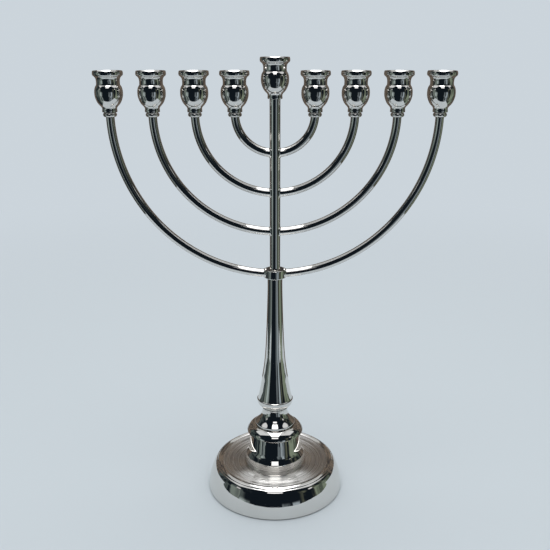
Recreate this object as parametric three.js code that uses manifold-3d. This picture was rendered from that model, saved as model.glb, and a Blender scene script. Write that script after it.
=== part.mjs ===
// A nine-light menorah in nickel-plated metal. A dished round foot, a bell, a knop and a tapering stem are
// pulled together by one tie rod; the branched head screws into the top of the stem.
// Millimetres, +Z up, arms along X, origin at the centre of the felt underside.
import * as THREE from "three";
import { mergeVertices } from "three/addons/utils/BufferGeometryUtils.js";
import Module from "manifold-3d";

const wasm = await Module();
wasm.setup();

// ---- Driving dimensions ----
const WALL = 1.5; // sheet thickness of the spun foot, bell and knop
const FIT = 0.1; // clearance between pieces that are pressed or brazed together

const FOOT = { radius: 61.2, bottom: 1, shoulder: 57, crest: 50.5, crestZ: 25.8, floorZ: 22.3, floor: 28.5 };
const FELT = { radius: 60.6, thickness: 1 };
const BOARD = { radius: 59, thickness: 1.2 };
const BELL = {
  drum: 27,
  ledge: 26.4,
  ledgeZ: 32,
  waist: 21.9,
  waistZ: 52.6,
  bulge: 25,
  bulgeZ: 54.6,
  topZ: 61.5,
};
const KNOP = { lip: 17.9, lipHeight: 2.4, neck: 10.8, topZ: 76.4 };
const NECK_RING = { radius: 11.8, topZ: 78.8 };
const STEM = { neck: 10.2, neckZ: 79.3, lip: 16, lipZ: 86.2, top: 6.3, topZ: 199.3 };

const ROD = { radius: 3.95, clearance: 4.4, bottomZ: 10.5, topZ: 112 };
const STUD = { radius: 2.95, bore: 3.1, bottomZ: 189.4, topZ: 210.4 };
const LOCK_WASHER_THICKNESS = 0.6;
const COLLAR_Z = STEM.topZ + LOCK_WASHER_THICKNESS;

const HEAD_ROD_RADIUS = 4.35; // the upper stem, above the collar
const COLLAR = { radius: 8.8, height: 7.4 };
const ARM_RADIUS = 3.4;
const ARM_TOP_Z = 336.8;
// Each arm is a quarter of a near-circle: how far out its cup stands, and how far below its top it joins.
const ARMS = [
  { reach: 32, drop: 31.5 },
  { reach: 64, drop: 64 },
  { reach: 97.8, drop: 96.8 },
  { reach: 131.8, drop: 133.8 },
];

const FERRULE = { radius: 5.5, bottomZ: 334.6, topZ: 338.2 };
const CUP = {
  height: 32,
  lip: 12,
  neck: 9.4,
  bulb: 11.1,
  foot: 6,
  footHeight: 3,
  socket: 7.1,
  socketFloor: 12,
};
const SIDE_CUP_Z = 338.4;
const SHAMASH_CUP_Z = 348.8;
const CUP_STUD = { radius: 1.95, bore: 2.1, depth: 7, endGap: 0.5 };

const FINE = 32; // facets round the foot
const MEDIUM = 24; // facets round the bell, knop and stem
const SMALL = 12; // facets round cups and rods

// ---- Materials ----
const metal = (color, roughness) => new THREE.MeshStandardMaterial({ color, roughness, metalness: 1 });
const NICKEL = metal(0xcfcdc8, 0.08);
const ZINC = metal(0xa9abad, 0.4);
const FELT_CLOTH = new THREE.MeshStandardMaterial({ color: 0x23262b, roughness: 1, metalness: 0 });
const FIBREBOARD = new THREE.MeshStandardMaterial({ color: 0x8a6f52, roughness: 0.9, metalness: 0 });

// ---- Shape helpers ----
const at = (radius, z) => new THREE.Vector2(radius, z);

// An outline in (radius, z), started at a point; lineTo and the curve methods add to it.
function outline(radius, z) {
  const path = new THREE.Path();
  path.moveTo(radius, z);
  return path;
}

// A piece turned about the Z axis from its profile.
function turned(name, points, material, facets) {
  const geometry = new THREE.LatheGeometry(points, facets).rotateX(Math.PI / 2);
  return named(name, geometry, material);
}

function named(name, geometry, material) {
  const mesh = new THREE.Mesh(geometry, material);
  mesh.name = name;
  return mesh;
}

// The closed profile of a sheet shell: its outline from rim to bolt hole, and the same one wall inside.
function shell(points, wall) {
  const last = points.length - 1;
  const inside = points.map((point, i) => {
    if (i === 0) return at(point.x - wall, point.y);
    if (i === last) return at(point.x, point.y - wall);
    const along = points[i + 1].clone().sub(points[i - 1]).normalize();
    return at(point.x - along.y * wall, point.y + along.x * wall);
  });
  return [...points, ...inside.reverse(), points[0]];
}

// The profile of a plain ring or washer of square section.
function ring(inner, outer, bottom, top) {
  return [at(inner, bottom), at(outer, bottom), at(outer, top), at(inner, top), at(inner, bottom)];
}

// The profile of a solid round bar.
function bar(radius, bottom, top) {
  return [at(0, bottom), at(radius, bottom), at(radius, top), at(0, top)];
}

// The corners of a ring of points that alternate between two radii.
function star(count, even, odd) {
  const corners = [];
  for (let i = 0; i < count; i++) {
    const angle = (i * 2 * Math.PI) / count;
    const radius = i % 2 ? odd : even;
    corners.push(at(radius * Math.cos(angle), radius * Math.sin(angle)));
  }
  return corners;
}

// A flat plate of one shape, lying at a height.
function plate(name, shape, bottom, thickness, material) {
  const geometry = new THREE.ExtrudeGeometry(shape, {
    depth: thickness,
    bevelEnabled: false,
    curveSegments: SMALL,
  }).translate(0, 0, bottom);
  return named(name, geometry, material);
}

function solidOf(geometry) {
  const bare = geometry.clone();
  bare.deleteAttribute("normal");
  bare.deleteAttribute("uv");
  const merged = mergeVertices(bare, 1e-4);
  return new wasm.Manifold(
    new wasm.Mesh({
      numProp: 3,
      vertProperties: merged.attributes.position.array,
      triVerts: new Uint32Array(merged.index.array),
    }),
  );
}

function geometryOf(solid) {
  const { numProp, vertProperties, triVerts } = solid.getMesh();
  const geometry = new THREE.BufferGeometry();
  geometry.setAttribute("position", new THREE.BufferAttribute(new Float32Array(vertProperties), numProp));
  geometry.setIndex(new THREE.BufferAttribute(new Uint32Array(triVerts), 1));
  geometry.computeVertexNormals();
  return geometry;
}

// ---- Foot, and what closes it from below ----
function foot() {
  const path = outline(FOOT.radius, FOOT.bottom);
  const wallTop = 18;
  path.bezierCurveTo(60.9, 6, 59.7, 12, FOOT.shoulder, wallTop);
  path.bezierCurveTo(55.6, 21.7, 53.6, FOOT.crestZ, FOOT.crest, FOOT.crestZ);
  path.quadraticCurveTo(40, FOOT.floorZ, FOOT.floor, FOOT.floorZ);
  path.lineTo(ROD.clearance, FOOT.floorZ);
  return turned("foot", shell(path.getPoints(4), WALL), NICKEL, FINE);
}

const feltPad = () => turned("felt_pad", bar(FELT.radius, 0, FELT.thickness), FELT_CLOTH, FINE);

function closingBoard() {
  const profile = bar(BOARD.radius, FELT.thickness, FELT.thickness + BOARD.thickness);
  return turned("closing_board", profile, FIBREBOARD, FINE);
}

// ---- Bell, knop and neck ring ----
function bell() {
  const path = outline(BELL.drum, FOOT.floorZ);
  path.quadraticCurveTo(BELL.drum, 28, BELL.ledge, BELL.ledgeZ);
  path.lineTo(24.6, 34.3);
  path.bezierCurveTo(23, 36.6, 22.7, 41, BELL.waist, BELL.waistZ);
  path.lineTo(BELL.bulge, BELL.bulgeZ);
  path.bezierCurveTo(24.5, 57.3, 21.5, 60.9, 19, BELL.topZ);
  path.lineTo(ROD.clearance, BELL.topZ);
  return turned("bell", shell(path.getPoints(4), WALL), NICKEL, MEDIUM);
}

function knop() {
  const path = outline(KNOP.lip, BELL.topZ);
  const lipTop = BELL.topZ + KNOP.lipHeight;
  path.lineTo(KNOP.lip, lipTop);
  path.lineTo(KNOP.lip - 0.4, lipTop + 0.3);
  path.quadraticCurveTo(11.8, 70, KNOP.neck, KNOP.topZ);
  path.lineTo(ROD.clearance, KNOP.topZ);
  return turned("knop", shell(path.getPoints(4), WALL), NICKEL, MEDIUM);
}

function neckRing() {
  const bevel = 0.4;
  const profile = [
    at(ROD.clearance, KNOP.topZ),
    at(NECK_RING.radius - bevel, KNOP.topZ),
    at(NECK_RING.radius, KNOP.topZ + bevel),
    at(NECK_RING.radius, NECK_RING.topZ - bevel),
    at(NECK_RING.radius - bevel, NECK_RING.topZ),
    at(ROD.clearance, NECK_RING.topZ),
    at(ROD.clearance, KNOP.topZ),
  ];
  return turned("neck_ring", profile, NICKEL, MEDIUM);
}

// ---- Tapering stem: a solid turning, bored from below for the tie rod and from above for the stud ----
function stem() {
  const rodBore = ROD.radius + FIT;
  const path = outline(0, ROD.topZ + 2);
  path.lineTo(rodBore, ROD.topZ + 2);
  path.lineTo(rodBore, NECK_RING.topZ);
  path.lineTo(STEM.neck, NECK_RING.topZ);
  path.lineTo(STEM.neck, STEM.neckZ);
  path.bezierCurveTo(14, STEM.neckZ + 0.3, 15.8, 81.6, STEM.lip - 0.05, STEM.lipZ - 1);
  path.lineTo(STEM.lip, STEM.lipZ);
  path.lineTo(STEM.lip - 0.6, STEM.lipZ + 0.8);
  path.bezierCurveTo(7.9, 113, 7.4, 150, STEM.top, STEM.topZ);
  path.lineTo(STUD.bore, STEM.topZ);
  path.lineTo(STUD.bore, STUD.bottomZ - 2);
  path.lineTo(0, STUD.bottomZ - 2);
  return turned("stem", path.getPoints(7), NICKEL, MEDIUM);
}

// ---- Tie rod and its nut, under the foot's floor ----
function baseFasteners() {
  const washer = { radius: 14, thickness: 1.5 };
  const spring = { inner: 4.3, outer: 7.3, thickness: 1.8, gap: 0.12 };
  const nut = { acrossFlats: 13, height: 6.5 };
  const washerBottom = FOOT.floorZ - WALL - washer.thickness;
  const springBottom = washerBottom - spring.thickness;
  const washerProfile = ring(ROD.clearance, washer.radius, washerBottom, washerBottom + washer.thickness);

  const split = new THREE.Shape();
  split.absarc(0, 0, spring.outer, spring.gap, 2 * Math.PI - spring.gap, false);
  split.absarc(0, 0, spring.inner, 2 * Math.PI - spring.gap, spring.gap, true);

  const corner = nut.acrossFlats / Math.sqrt(3);
  const hexagon = new THREE.Shape(star(6, corner, corner));
  hexagon.holes.push(new THREE.Path().absarc(0, 0, ROD.radius + FIT, 0, 2 * Math.PI, true));

  return [
    turned("base_washer", washerProfile, ZINC, MEDIUM),
    plate("spring_washer", split, springBottom, spring.thickness, ZINC),
    plate("base_nut", hexagon, springBottom - nut.height, nut.height, ZINC),
    turned("tie_rod", bar(ROD.radius, ROD.bottomZ, ROD.topZ), ZINC, SMALL),
  ];
}

// ---- Screw joint between stem and head ----
// An internal-tooth washer under the collar, held on the stud.
function lockWasher() {
  const teeth = 8;
  const root = 4.4;
  const tip = 3.3;
  const disc = new THREE.Shape().absarc(0, 0, STEM.top - 0.2, 0, 2 * Math.PI, false);
  disc.holes.push(new THREE.Path(star(2 * teeth, root, tip).reverse()));
  return plate("lock_washer", disc, STEM.topZ, LOCK_WASHER_THICKNESS, ZINC);
}

const headStud = () => turned("head_stud", bar(STUD.radius, STUD.bottomZ, STUD.topZ), ZINC, SMALL);

function collar() {
  const bevel = 0.5;
  const inner = HEAD_ROD_RADIUS + FIT;
  const top = COLLAR_Z + COLLAR.height;
  const profile = [
    at(inner, COLLAR_Z),
    at(COLLAR.radius - bevel, COLLAR_Z),
    at(COLLAR.radius, COLLAR_Z + bevel),
    at(COLLAR.radius, top - bevel),
    at(COLLAR.radius - bevel, top),
    at(inner, top),
    at(inner, COLLAR_Z),
  ];
  return turned("arm_collar", profile, NICKEL, SMALL);
}

function upperStem() {
  const studBore = STUD.radius + FIT;
  const cupBoreZ = SHAMASH_CUP_Z - CUP_STUD.depth;
  const profile = [
    at(0, STUD.topZ + 1),
    at(studBore, STUD.topZ + 1),
    at(studBore, COLLAR_Z),
    at(HEAD_ROD_RADIUS, COLLAR_Z),
    at(HEAD_ROD_RADIUS, SHAMASH_CUP_Z - FIT),
    at(CUP_STUD.bore, SHAMASH_CUP_Z - FIT),
    at(CUP_STUD.bore, cupBoreZ),
    at(0, cupBoreZ),
  ];
  return turned("upper_stem", profile, NICKEL, SMALL);
}

// ---- Arms: round bar bent through a quarter turn, its inner end coped to the post it is brazed to ----
class QuarterTurn extends THREE.Curve {
  constructor(reach, drop) {
    super();
    this.reach = reach;
    this.drop = drop;
  }

  getPoint(t, target = new THREE.Vector3()) {
    const angle = ((t - 1) * Math.PI) / 2;
    return target.set(this.reach * Math.cos(angle), 0, ARM_TOP_Z + this.drop * Math.sin(angle));
  }
}

function arm(name, reach, drop, postRadius) {
  const section = new THREE.Shape().absarc(0, 0, ARM_RADIUS, 0, 2 * Math.PI, false);
  const bent = new THREE.ExtrudeGeometry(section, {
    extrudePath: new QuarterTurn(reach, drop),
    steps: Math.round(7 + reach / 14),
    curveSegments: 6,
  });
  const post = new THREE.CylinderGeometry(postRadius + FIT, postRadius + FIT, 4 * ARM_RADIUS, SMALL)
    .rotateX(Math.PI / 2)
    .translate(0, 0, ARM_TOP_Z - drop);
  return named(name, geometryOf(solidOf(bent).subtract(solidOf(post))), NICKEL);
}

// ---- Candle cups and the ferrules under them ----
function cup(name, z) {
  const path = outline(0, CUP_STUD.depth);
  path.lineTo(CUP_STUD.bore, CUP_STUD.depth);
  path.lineTo(CUP_STUD.bore, 0);
  path.lineTo(CUP.foot, 0);
  path.lineTo(CUP.foot - 0.2, CUP.footHeight);
  path.bezierCurveTo(8.5, 6, CUP.bulb, 8.5, CUP.bulb, 15);
  path.quadraticCurveTo(CUP.bulb, 18.5, CUP.neck, 21);
  path.lineTo(CUP.neck, 25);
  path.quadraticCurveTo(CUP.neck + 0.3, 27.5, CUP.lip, 28.9);
  path.lineTo(CUP.lip, CUP.height - 0.4);
  path.lineTo(CUP.lip - 0.5, CUP.height);
  path.lineTo(CUP.lip - 1.2, CUP.height);
  path.quadraticCurveTo(CUP.socket + 0.5, CUP.height - 1.6, CUP.socket, CUP.height - 6);
  path.lineTo(CUP.socket, CUP.socketFloor);
  path.lineTo(0, CUP.socketFloor);
  const mesh = turned(name, path.getPoints(3), NICKEL, SMALL);
  mesh.position.z = z;
  return mesh;
}

const cupStud = (name, bottom, top) => turned(name, bar(CUP_STUD.radius, bottom, top), ZINC, SMALL);

function ferrule(name) {
  const { radius, bottomZ, topZ } = FERRULE;
  const armBore = ARM_RADIUS + 0.3;
  const seat = ARM_TOP_Z + FIT;
  const path = outline(armBore, bottomZ);
  path.lineTo(radius - 1.2, bottomZ);
  path.quadraticCurveTo(radius, bottomZ, radius, (bottomZ + topZ) / 2);
  path.quadraticCurveTo(radius, topZ, radius - 1.2, topZ);
  path.lineTo(CUP_STUD.bore, topZ);
  path.lineTo(CUP_STUD.bore, seat);
  path.lineTo(armBore, seat);
  path.lineTo(armBore, bottomZ);
  return turned(name, path.getPoints(2), NICKEL, SMALL);
}

// One branch: an arm with its ferrule, cup and stud. It is drawn towards +X; side -1 turns it to the left.
function branch(side, number, { reach, drop }) {
  const label = `${side < 0 ? "left" : "right"}_${number}`;
  const postRadius = number === ARMS.length ? COLLAR.radius : HEAD_ROD_RADIUS;
  const atCup = new THREE.Group();
  atCup.position.x = reach;
  atCup.add(
    ferrule(`ferrule_${label}`),
    cup(`cup_${label}`, SIDE_CUP_Z),
    cupStud(`cup_stud_${label}`, ARM_TOP_Z + 2 * FIT, SIDE_CUP_Z + CUP_STUD.depth - CUP_STUD.endGap),
  );
  const group = new THREE.Group();
  group.add(arm(`arm_${label}`, reach, drop, postRadius), atCup);
  group.rotation.z = side < 0 ? Math.PI : 0;
  return group;
}

// ---- Assembly ----
const menorah = new THREE.Group();
menorah.add(foot(), feltPad(), closingBoard(), bell(), knop(), neckRing(), stem(), ...baseFasteners());
menorah.add(lockWasher(), headStud(), collar(), upperStem());
const shamashStudHalf = CUP_STUD.depth - CUP_STUD.endGap;
menorah.add(cup("shamash_cup", SHAMASH_CUP_Z));
menorah.add(cupStud("shamash_stud", SHAMASH_CUP_Z - shamashStudHalf, SHAMASH_CUP_Z + shamashStudHalf));
for (const side of [-1, 1]) {
  ARMS.forEach((bend, i) => menorah.add(branch(side, i + 1, bend)));
}

export default menorah;
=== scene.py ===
"""Nickel-plated menorah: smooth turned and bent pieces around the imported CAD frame, in a pale studio."""
import math

import bmesh
import bpy
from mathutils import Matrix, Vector

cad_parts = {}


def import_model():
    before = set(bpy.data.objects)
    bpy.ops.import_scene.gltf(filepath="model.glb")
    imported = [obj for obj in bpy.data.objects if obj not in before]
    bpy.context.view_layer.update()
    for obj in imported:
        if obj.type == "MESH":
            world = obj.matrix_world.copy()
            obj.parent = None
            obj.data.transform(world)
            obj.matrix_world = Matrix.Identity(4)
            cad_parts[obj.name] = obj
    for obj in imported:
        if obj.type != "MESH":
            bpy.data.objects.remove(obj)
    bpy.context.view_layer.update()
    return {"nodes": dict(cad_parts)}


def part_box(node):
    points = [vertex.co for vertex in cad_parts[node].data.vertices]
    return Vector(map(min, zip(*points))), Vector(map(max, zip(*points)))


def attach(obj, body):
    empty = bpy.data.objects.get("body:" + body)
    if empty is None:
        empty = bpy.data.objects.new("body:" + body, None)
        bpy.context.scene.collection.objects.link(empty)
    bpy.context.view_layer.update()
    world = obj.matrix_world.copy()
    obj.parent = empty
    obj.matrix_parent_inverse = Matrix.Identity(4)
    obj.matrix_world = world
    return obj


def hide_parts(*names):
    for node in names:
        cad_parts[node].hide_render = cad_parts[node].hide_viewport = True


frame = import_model()

MM = 0.001

SHEET = 1.4  # wall of the spun foot, bell and knop, mm
ROD_HOLE = 4.4  # radius of the holes that the tie rod passes through, mm
POST_RADIUS = 4.35  # the upper stem, above the collar, mm
CUP_STUD_HOLE = 2.1  # radius of the holes for the studs under the cups, mm

SHARP_CORNER = 18.0  # an outline that turns by more than this, in degrees, has a corner there

# Facets round a turned piece, by its size
ROUND_LARGE = 160
ROUND_MEDIUM = 112
ROUND_SMALL = 72

SIDES = [f"{side}_{number}" for side in ("left", "right") for number in (1, 2, 3, 4)]


# ---------------------------------------------------------------- Sizes read from the CAD frame
def low(node):
    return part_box(node)[0]


def high(node):
    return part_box(node)[1]


def radius_of(node):
    """Largest radius of a turned node, in mm."""
    return (high(node).x - low(node).x) / 2 / MM


def bottom_of(node):
    return low(node).z / MM


def top_of(node):
    return high(node).z / MM


def centre_x(node):
    return (low(node).x + high(node).x) / 2 / MM


# ---------------------------------------------------------------- Outlines in (radius, z), mm
def spline(points, steps=10):
    """A smooth curve through all the points (centripetal Catmull-Rom)."""
    ends = [2 * Vector(points[0]) - Vector(points[1])]
    tail = [2 * Vector(points[-1]) - Vector(points[-2])]
    knots = ends + [Vector(p) for p in points] + tail
    out = [tuple(knots[1])]
    for p0, p1, p2, p3 in zip(knots, knots[1:], knots[2:], knots[3:]):
        t0 = 0.0
        t1 = t0 + math.sqrt((p1 - p0).length)
        t2 = t1 + math.sqrt((p2 - p1).length)
        t3 = t2 + math.sqrt((p3 - p2).length)
        for i in range(1, steps + 1):
            t = t1 + (t2 - t1) * i / steps
            a1 = p0.lerp(p1, (t - t0) / (t1 - t0))
            a2 = p1.lerp(p2, (t - t1) / (t2 - t1))
            a3 = p2.lerp(p3, (t - t2) / (t3 - t2))
            b1 = a1.lerp(a2, (t - t0) / (t2 - t0))
            b2 = a2.lerp(a3, (t - t1) / (t3 - t1))
            out.append(tuple(b1.lerp(b2, (t - t1) / (t2 - t1))))
    return out


def arc(centre, radius, start, end, steps=10):
    """Points on a circle from one angle to another, in degrees; 0 points outwards and 90 up."""
    out = []
    for i in range(steps + 1):
        angle = math.radians(start + (end - start) * i / steps)
        out.append((centre[0] + radius * math.cos(angle), centre[1] + radius * math.sin(angle)))
    return out


def softened(points, width, closed=False):
    """The outline with each sharp corner rounded off over `width` on each side."""
    pts = [Vector(p) for p in points]
    pts = [p for i, p in enumerate(pts) if i == 0 or (p - pts[i - 1]).length > 1e-5]
    if closed and (pts[0] - pts[-1]).length < 1e-5:
        pts.pop()
    count = len(pts)
    out = []
    for i, p in enumerate(pts):
        if not closed and i in (0, count - 1):
            out.append(p)
            continue
        before, after = pts[i - 1], pts[(i + 1) % count]
        turn = math.degrees((p - before).angle(after - p, 0.0))
        if turn < SHARP_CORNER:
            out.append(p)
            continue
        reach_in = min(width, 0.48 * (p - before).length)
        reach_out = min(width, 0.48 * (after - p).length)
        start = p + (before - p).normalized() * reach_in
        end = p + (after - p).normalized() * reach_out
        steps = 6
        for k in range(steps + 1):
            t = k / steps
            out.append((1 - t) ** 2 * start + 2 * t * (1 - t) * p + t * t * end)
    return [tuple(p) for p in out]


def raised(points, base):
    """The outline moved up, so that it starts from a base height."""
    return [(r, z + base) for r, z in points]


def refined(points, longest, closed=False):
    """The outline with no straight stretch longer than `longest`."""
    out = [points[0]]
    following = points[1:] + ([points[0]] if closed else [])
    for a, b in zip(points, following):
        length = math.dist(a, b)
        parts = max(1, math.ceil(length / longest))
        for k in range(1, parts + 1):
            out.append((a[0] + (b[0] - a[0]) * k / parts, a[1] + (b[1] - a[1]) * k / parts))
    if closed:
        out.pop()
    return out


def shelled(points, wall):
    """A closed sheet outline: the outer line, then the same line one wall further in."""
    inner = []
    last = len(points) - 1
    for i, p in enumerate(points):
        if i == 0:
            inner.append((p[0] - wall, p[1]))
        elif i == last:
            inner.append((p[0], p[1] - wall))
        else:
            along = (Vector(points[i + 1]) - Vector(points[i - 1])).normalized()
            inner.append((p[0] - along.y * wall, p[1] + along.x * wall))
    kept = [p for p in inner if p[0] >= points[-1][0] - 1e-6]
    return list(points) + kept[::-1]


# ---------------------------------------------------------------- Mesh pieces
def finish_mesh(name, bm, mat):
    mesh = bpy.data.meshes.new(name)
    bmesh.ops.recalc_face_normals(bm, faces=bm.faces)
    bm.to_mesh(mesh)
    bm.free()
    for poly in mesh.polygons:
        poly.use_smooth = True
    mesh.materials.append(mat)
    obj = bpy.data.objects.new(name, mesh)
    bpy.context.scene.collection.objects.link(obj)
    return obj


def around(bm, radius, angle, z):
    """A new vertex at a radius and angle about the vertical axis, and at a height."""
    return bm.verts.new((radius * math.cos(angle) * MM, radius * math.sin(angle) * MM, z * MM))


def bridge(bm, a, b):
    """Faces between two rings of vertices; a ring of one vertex is a point on the axis."""
    count = max(len(a), len(b))
    if count == 1:
        return
    for k in range(count):
        n = (k + 1) % count
        if len(a) == 1:
            bm.faces.new((a[0], b[k], b[n]))
        elif len(b) == 1:
            bm.faces.new((a[k], b[0], a[n]))
        else:
            bm.faces.new((a[k], b[k], b[n], a[n]))


def turned(name, outline, mat, facets, axis_x=0.0, closed=True):
    """Turns an outline about an upright axis; one that isn't closed starts and ends on that axis."""
    bm = bmesh.new()
    rings = []
    for r, z in outline:
        count = 1 if r < 1e-4 else facets
        rings.append([around(bm, r, 2 * math.pi * k / facets, z) for k in range(count)])
    for a, b in zip(rings, rings[1:]):
        bridge(bm, a, b)
    if closed:
        bridge(bm, rings[-1], rings[0])
    obj = finish_mesh(name, bm, mat)
    obj.location.x = axis_x * MM
    return obj


def placed(obj, body, slot, *nodes):
    """Hands a piece to the frame: the body it moves with and the CAD nodes it stands for; the slot argument is
    not used.
    """
    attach(obj, body)
    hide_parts(*nodes)
    return obj


# ---------------------------------------------------------------- Node helpers
class Shader:
    """A node tree with short names for the nodes it uses."""

    def __init__(self, tree):
        self.tree = tree
        tree.nodes.clear()

    def node(self, kind, **settings):
        made = self.tree.nodes.new(kind)
        for key, value in settings.items():
            setattr(made, key, value)
        return made

    def link(self, source, target):
        self.tree.links.new(source, target)

    def output(self):
        return next(node for node in self.tree.nodes if node.type == "OUTPUT_MATERIAL")

    def feed(self, socket, value):
        if isinstance(value, bpy.types.NodeSocket):
            self.link(value, socket)
        else:
            socket.default_value = value

    def math(self, operation, a, b=0.0):
        made = self.node("ShaderNodeMath", operation=operation)
        for socket, value in zip(made.inputs, (a, b)):
            self.feed(socket, value)
        return made.outputs[0]

    def ramp(self, value, start, end, low_value=0.0, high_value=1.0):
        """Smoothly from low_value at start to high_value at end."""
        made = self.node("ShaderNodeMapRange", interpolation_type="SMOOTHSTEP")
        self.feed(made.inputs["Value"], value)
        made.inputs["From Min"].default_value = start
        made.inputs["From Max"].default_value = end
        made.inputs["To Min"].default_value = low_value
        made.inputs["To Max"].default_value = high_value
        return made.outputs[0]

    def band(self, value, start, end, soft):
        """1 between start and end, 0 outside, with soft edges."""
        rise = self.ramp(value, start - soft, start + soft)
        fall = self.ramp(value, end - soft, end + soft, 1.0, 0.0)
        return self.math("MULTIPLY", rise, fall)

    def noise(self, vector, scale, detail=3.0, roughness=0.5):
        made = self.node("ShaderNodeTexNoise", noise_dimensions="3D")
        self.link(vector, made.inputs["Vector"])
        made.inputs["Scale"].default_value = scale
        made.inputs["Detail"].default_value = detail
        made.inputs["Roughness"].default_value = roughness
        return made.outputs["Fac"]

    def mix(self, factor, a, b):
        made = self.node("ShaderNodeMix", data_type="RGBA")
        self.feed(made.inputs[0], factor)
        self.feed(made.inputs[6], a)
        self.feed(made.inputs[7], b)
        return made.outputs[2]

    def bump(self, height, strength, distance, normal=None):
        made = self.node("ShaderNodeBump")
        made.inputs["Strength"].default_value = strength
        made.inputs["Distance"].default_value = distance
        self.link(height, made.inputs["Height"])
        if normal is not None:
            self.link(normal, made.inputs["Normal"])
        return made.outputs[0]

    def stretched(self, axes, *factors):
        """The vector whose parts are the three axes, each times its own factor."""
        return self.combine(*[self.math("MULTIPLY", axis, factor) for axis, factor in zip(axes, factors)])

    def combine(self, x, y, z):
        made = self.node("ShaderNodeCombineXYZ")
        for socket, value in zip(made.inputs, (x, y, z)):
            self.feed(socket, value)
        return made.outputs[0]


def rgb(r, g, b):
    return (r, g, b, 1.0)


def material(name):
    mat = bpy.data.materials.new(name)
    mat.use_nodes = True
    s = Shader(mat.node_tree)
    principled = s.node("ShaderNodeBsdfPrincipled")
    output = s.node("ShaderNodeOutputMaterial")
    s.link(principled.outputs[0], output.inputs[0])
    return mat, s, principled


# ---------------------------------------------------------------- Materials
BRIGHT_NICKEL = rgb(0.78, 0.765, 0.74)


def nickel(name, waviness=0.15, turned_marks=False, dish=None):
    """Mirror nickel plate. Turned pieces carry faint polishing rings. A dish, given by its inner and outer
    radius in metres, is also brushed in circles."""
    mat, s, polished = material(name)
    where = s.node("ShaderNodeTexCoord").outputs["Object"]

    tone = s.noise(where, 35.0, 2.0)
    polished.inputs["Metallic"].default_value = 1.0
    s.feed(polished.inputs["Base Color"], s.mix(tone, rgb(0.68, 0.665, 0.635), BRIGHT_NICKEL))

    smudge = s.ramp(s.noise(where, 55.0, 4.0, 0.65), 0.56, 0.74)
    haze = s.math("MULTIPLY", smudge, 0.05)
    fine = s.math("MULTIPLY", s.noise(where, 900.0, 2.0), 0.02)
    s.feed(polished.inputs["Roughness"], s.math("ADD", s.math("ADD", haze, fine), 0.02))

    normal = s.bump(s.noise(where, 60.0, 1.0), waviness, 0.00035)
    if turned_marks:
        split = s.node("ShaderNodeSeparateXYZ")
        s.link(where, split.inputs[0])
        squares = [s.math("POWER", split.outputs[axis], 2.0) for axis in (0, 1)]
        radius = s.math("SQRT", s.math("ADD", *squares))
        rings = s.combine(radius, 0.0, split.outputs[2])
        normal = s.bump(s.noise(rings, 1400.0, 2.0), 0.10, 0.00004, normal)
    if dish:
        normal = brushed_dish(mat, s, polished, radius, split.outputs[2], normal, *dish)
    s.link(normal, polished.inputs["Normal"])
    return mat


def brushed_dish(mat, s, polished, radius, height, normal, inner, outer):
    """Mixes circular brushing into a polished material between two radii; gives back the bumped normal.

    The brushing spreads part of the reflection across its circles. The normals also lean outwards over the
    whole dish, so that it mirrors the room like a very flat cone."""
    lean = 0.24
    on_top = s.ramp(height, 0.018, 0.020)
    brushed = s.math("MULTIPLY", s.band(radius, inner, outer, 0.0012), on_top)
    circles = s.noise(s.combine(radius, 0.0, 0.0), 900.0, 4.0, 0.7)
    fall = s.math("MULTIPLY", s.math("MINIMUM", s.math("MAXIMUM", radius, inner), outer), -1.0)
    normal = s.bump(fall, 1.0, lean, normal)
    normal = s.bump(s.math("MULTIPLY", circles, brushed), 0.6, 0.00012, normal)

    marks = s.node("ShaderNodeBsdfPrincipled")
    marks.inputs["Metallic"].default_value = 1.0
    marks.inputs["Base Color"].default_value = BRIGHT_NICKEL
    marks.inputs["Roughness"].default_value = 0.55
    marks.inputs["Anisotropic"].default_value = 0.95
    marks.inputs["Anisotropic Rotation"].default_value = 0.25
    tangent = s.node("ShaderNodeTangent", direction_type="RADIAL", axis="Z")
    s.link(tangent.outputs[0], marks.inputs["Tangent"])
    s.link(normal, marks.inputs["Normal"])

    share = s.math("MULTIPLY", brushed, s.ramp(circles, 0.38, 0.62, 0.15, 0.75))
    blend = s.node("ShaderNodeMixShader")
    s.link(share, blend.inputs[0])
    s.link(polished.outputs[0], blend.inputs[1])
    s.link(marks.outputs[0], blend.inputs[2])
    s.link(blend.outputs[0], s.output().inputs[0])
    return normal


def zinc(name):
    """Plain zinc plating on threads and washers: satin, slightly blue, with small blotches."""
    mat, s, p = material(name)
    where = s.node("ShaderNodeTexCoord").outputs["Object"]
    blotch = s.noise(where, 320.0, 3.0)
    p.inputs["Metallic"].default_value = 1.0
    s.feed(p.inputs["Base Color"], s.mix(blotch, rgb(0.45, 0.47, 0.50), rgb(0.66, 0.67, 0.66)))
    s.feed(p.inputs["Roughness"], s.ramp(blotch, 0.3, 0.7, 0.22, 0.42))
    s.link(s.bump(s.noise(where, 2400.0, 2.0), 0.25, 0.00003), p.inputs["Normal"])
    return mat


def felt(name):
    """Dark pressed wool: no gloss, a soft sheen at grazing angles and a tangle of short fibres."""
    mat, s, p = material(name)
    where = s.node("ShaderNodeTexCoord").outputs["Object"]
    tangle = s.noise(where, 1500.0, 4.0, 0.7)
    s.feed(p.inputs["Base Color"], s.mix(tangle, rgb(0.012, 0.014, 0.018), rgb(0.055, 0.060, 0.068)))
    p.inputs["Roughness"].default_value = 1.0
    p.inputs["Sheen Weight"].default_value = 0.35
    s.link(s.bump(tangle, 0.8, 0.0003), p.inputs["Normal"])
    return mat


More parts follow.
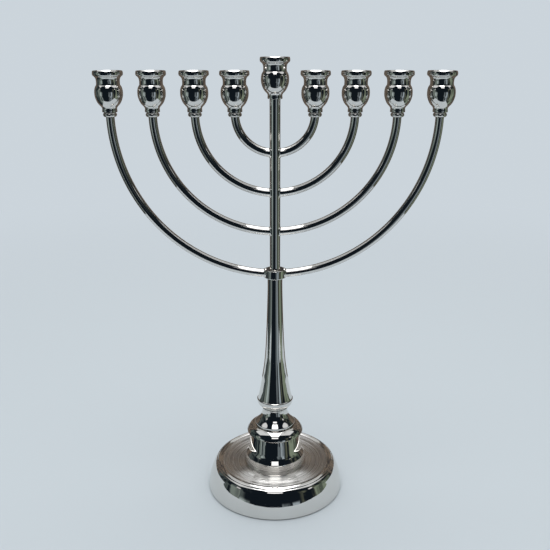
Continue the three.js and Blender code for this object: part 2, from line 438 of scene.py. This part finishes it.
def fibreboard(name):
    """Compressed fibreboard: brown with darker flecks."""
    mat, s, p = material(name)
    where = s.node("ShaderNodeTexCoord").outputs["Object"]
    flecks = s.noise(where, 900.0, 4.0, 0.7)
    s.feed(p.inputs["Base Color"], s.mix(flecks, rgb(0.16, 0.10, 0.055), rgb(0.36, 0.25, 0.16)))
    p.inputs["Roughness"].default_value = 0.85
    s.link(s.bump(flecks, 0.4, 0.0002), p.inputs["Normal"])
    return mat


NICKEL_TURNED = nickel("nickel_turned", turned_marks=True)
NICKEL_DISH = nickel("nickel_dish", turned_marks=True, dish=(0.0275, 0.0478))
NICKEL_BENT = nickel("nickel_bent", waviness=0.06)
ZINC = zinc("zinc_plate")
FELT = felt("wool_felt")
BOARD = fibreboard("fibreboard")


# ---------------------------------------------------------------- Foot
def foot():
    bottom = bottom_of("foot")
    rim = radius_of("foot")
    crest = (50.5, top_of("foot"))
    skirt = spline([(rim, bottom), (60.75, 5.0), (59.85, 10.0), (58.55, 14.4), (56.6, 19.2),
                    (55.5, 21.6), (54.0, 23.7), (52.1, 25.2), crest])
    floor_z = bottom_of("bell")
    dish = spline([crest, (49.4, 25.25), (46.0, 24.35), (41.0, 23.45), (34.0, 22.7), (28.5, floor_z)],
                  steps=24)
    # turned grooves: a deep one just outside the crest, and shallow ones in the dish
    half_width = 0.42
    grooves = [(52.9, 0.30)] + [(ring, 0.14) for ring in (45.7, 41.1, 39.3, 37.3, 34.5)]

    def grooved(point):
        r, z = point
        dip = sum(depth * math.exp(-(((r - ring) / half_width) ** 2)) for ring, depth in grooves)
        return (r, z - dip)

    outer = [grooved(p) for p in skirt + dish[1:]] + [(ROD_HOLE, floor_z)]
    outer = refined(softened(outer, 0.35), 2.5)
    shell = turned("foot_shell", shelled(outer, SHEET), NICKEL_DISH, ROUND_LARGE)
    return placed(shell, "base", "nickel", "foot")


def felt_pad():
    radius, top = radius_of("felt_pad"), top_of("felt_pad")
    outline = [(0.0, 0.0), (radius - 0.5, 0.0)]
    outline += arc((radius - top / 2, top / 2), top / 2, -90, 90, 8)
    outline += [(0.0, top)]
    outline = refined(outline, 3.0)
    pad = turned("felt_disc", outline, FELT, ROUND_LARGE, closed=False)
    return placed(pad, "base", "felt", "felt_pad")


# ---------------------------------------------------------------- Bell, knop, neck ring
def bell():
    rim, bottom = radius_of("bell"), bottom_of("bell")
    height = top_of("bell") - bottom
    drum = spline([(rim, 0.0), (rim, 3.2), (26.9, 5.7), (26.65, 8.2), (26.4, 9.7)], 5)
    body = spline([(24.6, 12.05), (23.9, 13.1), (23.4, 14.3), (23.0, 16.2), (22.7, 19.2),
                   (22.35, 23.2), (22.05, 26.7), (21.9, 30.3)], 6)
    shoulder = spline([(25.0, 32.3), (24.8, 33.4), (24.15, 34.9), (22.65, 36.9), (20.85, height - 0.8),
                       (19.6, height - 0.15), (18.6, height)])
    outline = raised(drum + body + shoulder + [(ROD_HOLE, height)], bottom)
    outline = refined(softened(outline, 0.3), 2.5)
    shell = turned("bell_shell", shelled(outline, SHEET), NICKEL_TURNED, ROUND_MEDIUM)
    return placed(shell, "base", "nickel", "bell")


def knop():
    lip, bottom = radius_of("knop"), bottom_of("knop")
    height = top_of("knop") - bottom
    edge = [(lip - 1.4, 0.0), (lip - 0.4, 0.0), (lip, 0.35), (lip, 2.05), (lip - 0.3, 2.4)]
    cone = spline([(lip - 0.5, 2.6), (15.2, 4.9), (14.35, 5.9), (13.1, 7.7), (11.75, 10.4), (11.2, 12.6),
                   (10.8, height)])
    outline = raised(edge + cone + [(ROD_HOLE, height)], bottom)
    outline = refined(softened(outline, 0.25), 2.5)
    shell = turned("knop_shell", shelled(outline, SHEET), NICKEL_TURNED, ROUND_MEDIUM)
    return placed(shell, "base", "nickel", "knop")


def neck_ring():
    radius, bottom, top = radius_of("neck_ring"), bottom_of("neck_ring"), top_of("neck_ring")
    half = (top - bottom) / 2
    outline = [(ROD_HOLE, bottom), (radius - 0.9, bottom)]
    outline += arc((radius - half, bottom + half), half, -70, 70, 12)
    outline += [(radius - 0.9, top), (ROD_HOLE, top)]
    outline = softened(outline, 0.12, closed=True)
    band = turned("neck_band", outline, NICKEL_TURNED, ROUND_MEDIUM)
    return placed(band, "base", "nickel", "neck_ring")


# ---------------------------------------------------------------- Stem
def stem():
    bottom, top = bottom_of("stem"), top_of("stem")
    lip, lip_z = radius_of("stem"), bottom + 7.4
    rod_bore, rod_top = 4.05, top_of("tie_rod") + 2
    stud_bore, stud_floor = 3.12, bottom_of("head_stud") - 2
    bowl = [(11.2, 0.6), (13.0, 1.1), (14.6, 2.4), (15.5, 4.2), (15.9, 6.0)]
    under = spline(raised(bowl, bottom) + [(lip - 0.02, lip_z - 0.4)])
    taper = spline([(15.35, lip_z + 0.75), (14.85, 88.8), (13.8, 93.4), (12.85, 98.5), (12.05, 103.3),
                    (11.3, 108.3), (10.5, 113.1), (9.25, 122.7), (8.45, 132.4), (7.9, 141.9), (7.5, 151.4),
                    (6.85, 170.0), (6.35, 190.0), (6.3, top)])
    outline = [(0.0, rod_top), (rod_bore, rod_top), (rod_bore, bottom), (10.3, bottom)]
    outline += under + [(lip, lip_z), (lip - 0.35, lip_z + 0.55)] + taper
    outline += [(stud_bore, top), (stud_bore, stud_floor), (0.0, stud_floor)]
    outline = refined(softened(outline, 0.2), 2.5)
    taper_piece = turned("stem_taper", outline, NICKEL_TURNED, ROUND_MEDIUM, closed=False)
    return placed(taper_piece, "base", "nickel", "stem")


# ---------------------------------------------------------------- Screw joint
def lock_washer():
    """Internal-tooth washer with softened edges."""
    bottom, top = bottom_of("lock_washer"), top_of("lock_washer")
    outer, root, tip = radius_of("lock_washer"), 4.4, 3.35
    teeth, per_tooth = 8, 12
    edge = 0.06
    bm = bmesh.new()
    layers = []
    for z, inset in ((bottom, edge), (bottom + edge, 0.0), (top - edge, 0.0), (top, edge)):
        inner_ring, outer_ring = [], []
        for k in range(teeth * per_tooth):
            angle = 2 * math.pi * k / (teeth * per_tooth)
            phase = (k % per_tooth) / per_tooth
            inner = tip if 0.2 < phase < 0.7 else root
            inner_ring.append(around(bm, inner + inset, angle, z))
            outer_ring.append(around(bm, outer - inset, angle, z))
        layers.append((inner_ring, outer_ring))
    for (inner_a, outer_a), (inner_b, outer_b) in zip(layers, layers[1:]):
        bridge(bm, inner_a, inner_b)
        bridge(bm, outer_a, outer_b)
    for inner_ring, outer_ring in (layers[0], layers[-1]):
        bridge(bm, inner_ring, outer_ring)
    washer = finish_mesh("tooth_washer", bm, ZINC)
    for poly in washer.data.polygons:
        poly.use_smooth = False
    return placed(washer, "lock_washer", "zinc", "lock_washer")


def head_stud():
    """M6 stud: a thread drawn as one helical surface, with a slightly tapered lower end."""
    bottom, top = bottom_of("head_stud"), top_of("head_stud")
    crest, root, pitch = radius_of("head_stud"), 2.45, 1.0
    facets, per_turn = 48, 12
    rows = int((top - bottom) / pitch * per_turn)
    bm = bmesh.new()
    rings = []
    for row in range(rows + 1):
        z = bottom + (top - bottom) * row / rows
        end_fade = min(1.0, (z - bottom) / 0.8)
        ring = []
        for k in range(facets):
            angle = 2 * math.pi * k / facets
            phase = (z / pitch - k / facets) % 1.0
            ridge = max(0.0, 1.0 - abs(phase - 0.5) * 2.3)
            r = (root + (crest - root) * ridge) * (0.86 + 0.14 * end_fade)
            ring.append(around(bm, r, angle, z))
        rings.append(ring)
    for a, b in zip(rings, rings[1:]):
        bridge(bm, a, b)
    bm.faces.new(rings[0][::-1])
    bm.faces.new(rings[-1])
    return placed(finish_mesh("threaded_stud", bm, ZINC), "head", "zinc", "head_stud")


# ---------------------------------------------------------------- Head
def arm_collar():
    radius, bottom, top = radius_of("arm_collar"), bottom_of("arm_collar"), top_of("arm_collar")
    bore = 4.45
    outline = [(bore, bottom), (radius, bottom), (radius, top), (bore, top)]
    outline = refined(softened(outline, 0.6, closed=True), 1.5, closed=True)
    collar = turned("collar_ring", outline, NICKEL_TURNED, ROUND_SMALL)
    return placed(collar, "head", "nickel", "arm_collar")


def upper_stem():
    bottom, top = bottom_of("upper_stem"), top_of("upper_stem")
    stud_bore, stud_end = 3.1, top_of("head_stud") + 1
    cup_bore_floor = bottom_of("shamash_stud") - 0.5
    outline = [(0.0, stud_end), (stud_bore, stud_end), (stud_bore, bottom), (POST_RADIUS, bottom)]
    outline += [(POST_RADIUS, top), (CUP_STUD_HOLE, top)]
    outline += [(CUP_STUD_HOLE, cup_bore_floor), (0.0, cup_bore_floor)]
    outline = refined(softened(outline, 0.15), 3.0)
    post = turned("centre_post", outline, NICKEL_TURNED, ROUND_SMALL, closed=False)
    return placed(post, "head", "nickel", "upper_stem")


def arm(label):
    """A round bar bent through a quarter turn, with a small braze fillet where it meets its post."""
    node = f"arm_{label}"
    side = -1 if label.startswith("left") else 1
    bar = 3.4
    reach = abs(centre_x(f"cup_{label}"))
    top_z = top_of(node)
    drop = top_z - bottom_of(node) - bar
    post = radius_of("arm_collar") if label.endswith("4") else POST_RADIUS
    fillet, fillet_reach = 0.9, 0.9
    start = math.asin((post - 1.2) / reach)
    steps = int(28 + reach * 0.55)
    facets = 40
    bm = bmesh.new()
    rings = []
    for i in range(steps + 1):
        # the rows crowd together near the post, where the fillet is
        t = (i / steps) ** 1.5
        angle = start + (math.pi / 2 - start) * t
        centre = Vector((reach * math.sin(angle), 0.0, -drop * math.cos(angle)))
        outward = Vector((drop * math.sin(angle), 0.0, -reach * math.cos(angle))).normalized()
        ring = []
        for k in range(facets):
            turn = 2 * math.pi * k / facets
            spoke = outward * math.cos(turn) + Vector((0.0, 1.0, 0.0)) * math.sin(turn)
            on_bar = centre + spoke * bar
            gap = max(0.0, math.hypot(on_bar.x, on_bar.y) - post)
            swell = fillet * max(0.0, 1.0 - gap / fillet_reach) ** 2
            point = centre + spoke * (bar + swell)
            ring.append(bm.verts.new((side * point.x * MM, point.y * MM, (top_z + point.z) * MM)))
        rings.append(ring)
    for a, b in zip(rings, rings[1:]):
        bridge(bm, a, b)
    bm.faces.new(rings[0])
    bm.faces.new(rings[-1])
    return placed(finish_mesh(f"bent_{node}", bm, NICKEL_BENT), "head", "nickel", node)


def ferrule(label):
    node = f"ferrule_{label}"
    radius, bottom, top = radius_of(node), bottom_of(node), top_of(node)
    half = (top - bottom) / 2
    seat = top_of(f"arm_{label}") + 0.1
    arm_bore = 3.5
    outline = [(arm_bore, bottom), (radius - 1.5, bottom)]
    outline += arc((radius - half, bottom + half), half, -80, 80, 12)
    outline += [(radius - 1.5, top), (CUP_STUD_HOLE, top), (CUP_STUD_HOLE, seat), (arm_bore, seat)]
    outline = softened(outline, 0.1, closed=True)
    bead = turned(f"bead_{label}", outline, NICKEL_TURNED, ROUND_SMALL, centre_x(node))
    return placed(bead, "head", "nickel", node)


def cup(node, name):
    base = bottom_of(node)
    height, lip = top_of(node) - base, radius_of(node)
    foot_ring = spline([(5.9, 0.0), (6.0, 0.9), (5.9, 2.0), (5.85, 3.0)], 5)
    bulb = spline([(5.95, 3.3), (6.5, 4.2), (8.1, 5.9), (9.4, 7.8), (10.4, 10.2), (11.0, 12.5),
                   (11.15, 15.0), (11.0, 17.2), (10.5, 19.2), (9.75, 20.6)], 5)
    neck = spline([(9.35, 21.1), (9.25, 22.5), (9.3, 24.5), (9.6, 26.0), (10.4, 27.3), (11.4, 28.1)], 5)
    socket, socket_floor = 7.1, 12.0
    stud_hole_end = 7.0
    mouth = [(lip - 1.0, -0.1), (9.5, -1.1), (8.1, -2.8), (7.35, -4.6), (socket, -7.0)]
    inside = spline(raised(mouth, height), 6)
    outline = [(0.0, stud_hole_end), (CUP_STUD_HOLE, stud_hole_end), (CUP_STUD_HOLE, 0.0)]
    outline += foot_ring + bulb + neck
    outline += [(lip - 0.05, 28.9), (lip, 30.0), (lip - 0.15, 31.2), (lip - 0.5, height)]
    outline += inside + [(socket, socket_floor), (0.0, socket_floor + 0.35)]
    outline = raised(refined(softened(outline, 0.3), 2.0), base)
    candle_cup = turned(name, outline, NICKEL_TURNED, ROUND_SMALL, centre_x(node), closed=False)
    return placed(candle_cup, "head", "nickel", node)


foot()
felt_pad()
bell()
knop()
neck_ring()
stem()
lock_washer()
head_stud()
arm_collar()
upper_stem()
cup("shamash_cup", "candle_cup_shamash")
for label in SIDES:
    arm(label)
    ferrule(label)
    cup(f"cup_{label}", f"candle_cup_{label}")


# ---------------------------------------------------------------- CAD nodes that stay
kept = {"closing_board": BOARD}
for name in ["base_washer", "spring_washer", "base_nut", "tie_rod", "shamash_stud"]:
    kept[name] = ZINC
for label in SIDES:
    kept[f"cup_stud_{label}"] = ZINC
for name, mat in kept.items():
    node = frame["nodes"][name]
    node.data.materials.clear()
    node.data.materials.append(mat)


# ---------------------------------------------------------------- Studio
BACKDROP = rgb(0.60, 0.66, 0.71)
FLOOR_COLOUR = rgb(0.56, 0.62, 0.66)

# Upright pale strips in the mirrored room: azimuth from and to and top elevation in degrees, and colour
UPRIGHTS = [
    (-62.0, -46.0, 2.0, rgb(0.42, 0.50, 0.50)),
    (-80.0, -65.0, 16.0, rgb(0.20, 0.24, 0.22)),
    (11.0, 20.0, 3.0, rgb(0.16, 0.19, 0.21)),
    (25.0, 40.0, 3.0, rgb(0.40, 0.47, 0.52)),
    (72.0, 108.0, 16.0, rgb(0.24, 0.29, 0.22)),
]
# Bright panes: azimuth from and to, elevation from and to, radiance
WINDOWS = [
    (-15.0, 15.0, 36.0, 45.0, 1.5),
    (62.0, 70.0, 19.0, 25.0, 0.9),
    (-72.0, -64.0, 17.0, 23.0, 0.7),
]


def floor():
    """Pale matt table top; far away, what the camera sees of it fades into the backdrop."""
    half = 6.0
    bm = bmesh.new()
    around_square = ((-1, -1), (1, -1), (1, 1), (-1, 1))
    corners = [bm.verts.new((x * half, y * half, 0.0)) for x, y in around_square]
    bm.faces.new(corners)
    mat, s, p = material("floor")
    where = s.node("ShaderNodeTexCoord").outputs["Object"]
    s.feed(p.inputs["Base Color"], FLOOR_COLOUR)
    p.inputs["Roughness"].default_value = 0.75
    distance = s.node("ShaderNodeVectorMath", operation="LENGTH")
    s.link(where, distance.inputs[0])
    path = s.node("ShaderNodeLightPath")
    fade = s.math("MULTIPLY", s.ramp(distance.outputs["Value"], 0.35, 1.3), path.outputs["Is Camera Ray"])
    glow = s.node("ShaderNodeEmission")
    glow.inputs["Color"].default_value = BACKDROP
    blend = s.node("ShaderNodeMixShader")
    s.link(fade, blend.inputs[0])
    s.link(p.outputs[0], blend.inputs[1])
    s.link(glow.outputs[0], blend.inputs[2])
    # mirrors see it only as far as a table reaches
    split = s.node("ShaderNodeSeparateXYZ")
    s.link(where, split.inputs[0])
    front, back, side = 0.30, 0.24, 0.40
    table = s.math("MULTIPLY", s.band(split.outputs[1], -front, back, 0.004),
                   s.band(split.outputs[0], -side, side, 0.004))
    # and not from between 31 and 57 mm up, where the bell mirrors the dark room instead
    back_along = s.node("ShaderNodeSeparateXYZ")
    s.link(s.node("ShaderNodeNewGeometry").outputs["Incoming"], back_along.inputs[0])
    height = s.math("MULTIPLY", path.outputs["Ray Length"], back_along.outputs[2])
    table = s.math("MULTIPLY", table, s.math("SUBTRACT", 1.0, s.band(height, 0.031, 0.057, 0.001)))
    past_table = s.math("MULTIPLY", s.math("SUBTRACT", 1.0, table), path.outputs["Is Glossy Ray"])
    cut = s.node("ShaderNodeMixShader")
    s.link(past_table, cut.inputs[0])
    s.link(blend.outputs[0], cut.inputs[1])
    s.link(s.node("ShaderNodeBsdfTransparent").outputs[0], cut.inputs[2])
    s.link(cut.outputs[0], s.output().inputs[0])
    obj = finish_mesh("floor", bm, mat)


def world():
    made = bpy.data.worlds.new("studio")
    bpy.context.scene.world = made
    made.use_nodes = True
    s = Shader(made.node_tree)
    direction = s.node("ShaderNodeTexCoord").outputs["Generated"]
    split = s.node("ShaderNodeSeparateXYZ")
    s.link(direction, split.inputs[0])
    x, y, z = split.outputs
    path = s.node("ShaderNodeLightPath")

    # What mirrors see: a dark room with pale uprights and clutter at the sides.
    # Azimuth 0 is the camera's side.
    elevation = s.math("MULTIPLY", s.math("ARCSINE", z), 180 / math.pi)
    azimuth = s.math("MULTIPLY", s.math("ARCTAN2", x, s.math("MULTIPLY", y, -1.0)), 180 / math.pi)
    stretched = s.stretched(split.outputs, 3.2, 3.2, 1.3)
    broken = s.noise(stretched, 1.5, 2.0, 0.5)
    beside = s.ramp(s.math("ABSOLUTE", azimuth), 40.0, 52.0)
    low_part = s.ramp(elevation, 24.0, 36.0, 1.0, 0.0)
    clutter = s.math("MULTIPLY", s.math("MULTIPLY", s.ramp(broken, 0.42, 0.62), beside), low_part)
    side_colour = s.mix(s.ramp(x, -0.2, 0.2), rgb(0.08, 0.10, 0.10), rgb(0.11, 0.12, 0.09))
    room = s.mix(clutter, rgb(0.007, 0.011, 0.016), side_colour)
    uneven = s.ramp(broken, 0.36, 0.60, 0.35, 1.0)
    swayed = s.math("ADD", azimuth, s.ramp(s.noise(stretched, 1.6, 1.0, 0.5), 0.3, 0.7, -5.0, 5.0))
    for start, end, top, colour in UPRIGHTS:
        below_top = s.ramp(elevation, top - 4, top + 4, 1.0, 0.0)
        mask = s.math("MULTIPLY", s.band(swayed, start, end, 1.5), below_top)
        room = s.mix(s.math("MULTIPLY", mask, uneven), room, colour)
    for start, end, lowest, highest, radiance in WINDOWS:
        level = s.band(elevation, lowest, highest, 1.2)
        mask = s.math("MULTIPLY", s.band(azimuth, start, end, 1.2), level)
        room = s.mix(mask, room, rgb(radiance, radiance, 1.02 * radiance))

    # Behind: a brown-grey wall, and pale light above it.
    round_back = s.ramp(s.math("ABSOLUTE", azimuth), 116.0, 122.0)
    slats = s.ramp(s.noise(s.stretched(split.outputs, 6.0, 6.0, 0.5), 2.6, 2.0), 0.40, 0.58)
    wall = s.mix(slats, rgb(0.050, 0.048, 0.048), rgb(0.210, 0.170, 0.135))
    above = s.math("MULTIPLY", s.ramp(elevation, 42.0, 46.0), s.ramp(y, 0.25, 0.45))
    mirrored = s.mix(above, s.mix(round_back, room, wall), rgb(0.62, 0.64, 0.64))

    # A pale ceiling panel that runs from front to back overhead, crossed by a wide beam; both lie on a
    # plane one unit up.
    up = s.math("MAXIMUM", z, 0.01)
    across = s.math("DIVIDE", x, up)
    along = s.math("DIVIDE", y, up)
    ceiling = s.math("MULTIPLY", s.band(across, -0.26, 0.26, 0.02), s.band(along, -0.74, 1.25, 0.02))
    beam = s.math("MULTIPLY", s.band(across, -1.3, 1.3, 0.1), s.band(along, -0.40, 0.40, 0.02))
    mirrored = s.mix(beam, mirrored, rgb(0.80, 0.82, 0.84))
    panel = s.mix(s.ramp(along, 0.35, 0.90), rgb(2.20, 2.24, 2.30), rgb(1.05, 1.07, 1.10))
    mirrored = s.mix(ceiling, mirrored, panel)

    # What lights the floor, and what the camera sees past the floor.
    soft = s.mix(s.ramp(z, -0.2, 0.9), rgb(0.64, 0.68, 0.72), rgb(0.85, 0.85, 0.85))
    other = s.mix(path.outputs["Is Camera Ray"], soft, BACKDROP)
    background = s.node("ShaderNodeBackground")
    s.link(s.mix(path.outputs["Is Glossy Ray"], other, mirrored), background.inputs["Color"])
    output = s.node("ShaderNodeOutputWorld")
    s.link(background.outputs[0], output.inputs[0])
    # floor and mirrors each see their own version of the room, so rays find it only by scattering
    made.cycles.sampling_method = "NONE"


def overhead_light():
    """A large soft rectangle above the object, turned to face it."""
    aim = Vector((0.0, 0.0, 0.15))
    elevation, distance = math.radians(92.0), 1.7
    width, height, radiance = 0.85, 1.6, 2.3
    light = bpy.data.lights.new("overhead", "AREA")
    light.shape = "RECTANGLE"
    light.size, light.size_y = width, height
    # a flat emitter of area A and radiance L gives pi * A * L watts
    light.energy = math.pi * width * height * radiance
    obj = bpy.data.objects.new("overhead", light)
    bpy.context.scene.collection.objects.link(obj)
    away = Vector((0.0, -math.cos(elevation), math.sin(elevation)))
    obj.location = aim + away * distance
    obj.rotation_euler = away.to_track_quat("Z", "Y").to_euler()
    obj.visible_camera = False


def camera():
    """Stands in front of the middle of the row, looking slightly down."""
    pitch, height, distance = math.radians(17.7), 0.3965, 0.610
    data = bpy.data.cameras.new("camera")
    data.sensor_width = 36.0
    data.lens = 36.0 * 750 / 550
    data.clip_start = 0.01
    obj = bpy.data.objects.new("camera", data)
    bpy.context.scene.collection.objects.link(obj)
    obj.location = (0.0, -distance, height)
    obj.rotation_euler = (math.pi / 2 - pitch, 0.0, 0.0)
    bpy.context.scene.camera = obj


floor()
world()
overhead_light()
camera()
bpy.context.scene.view_settings.view_transform = "Standard"
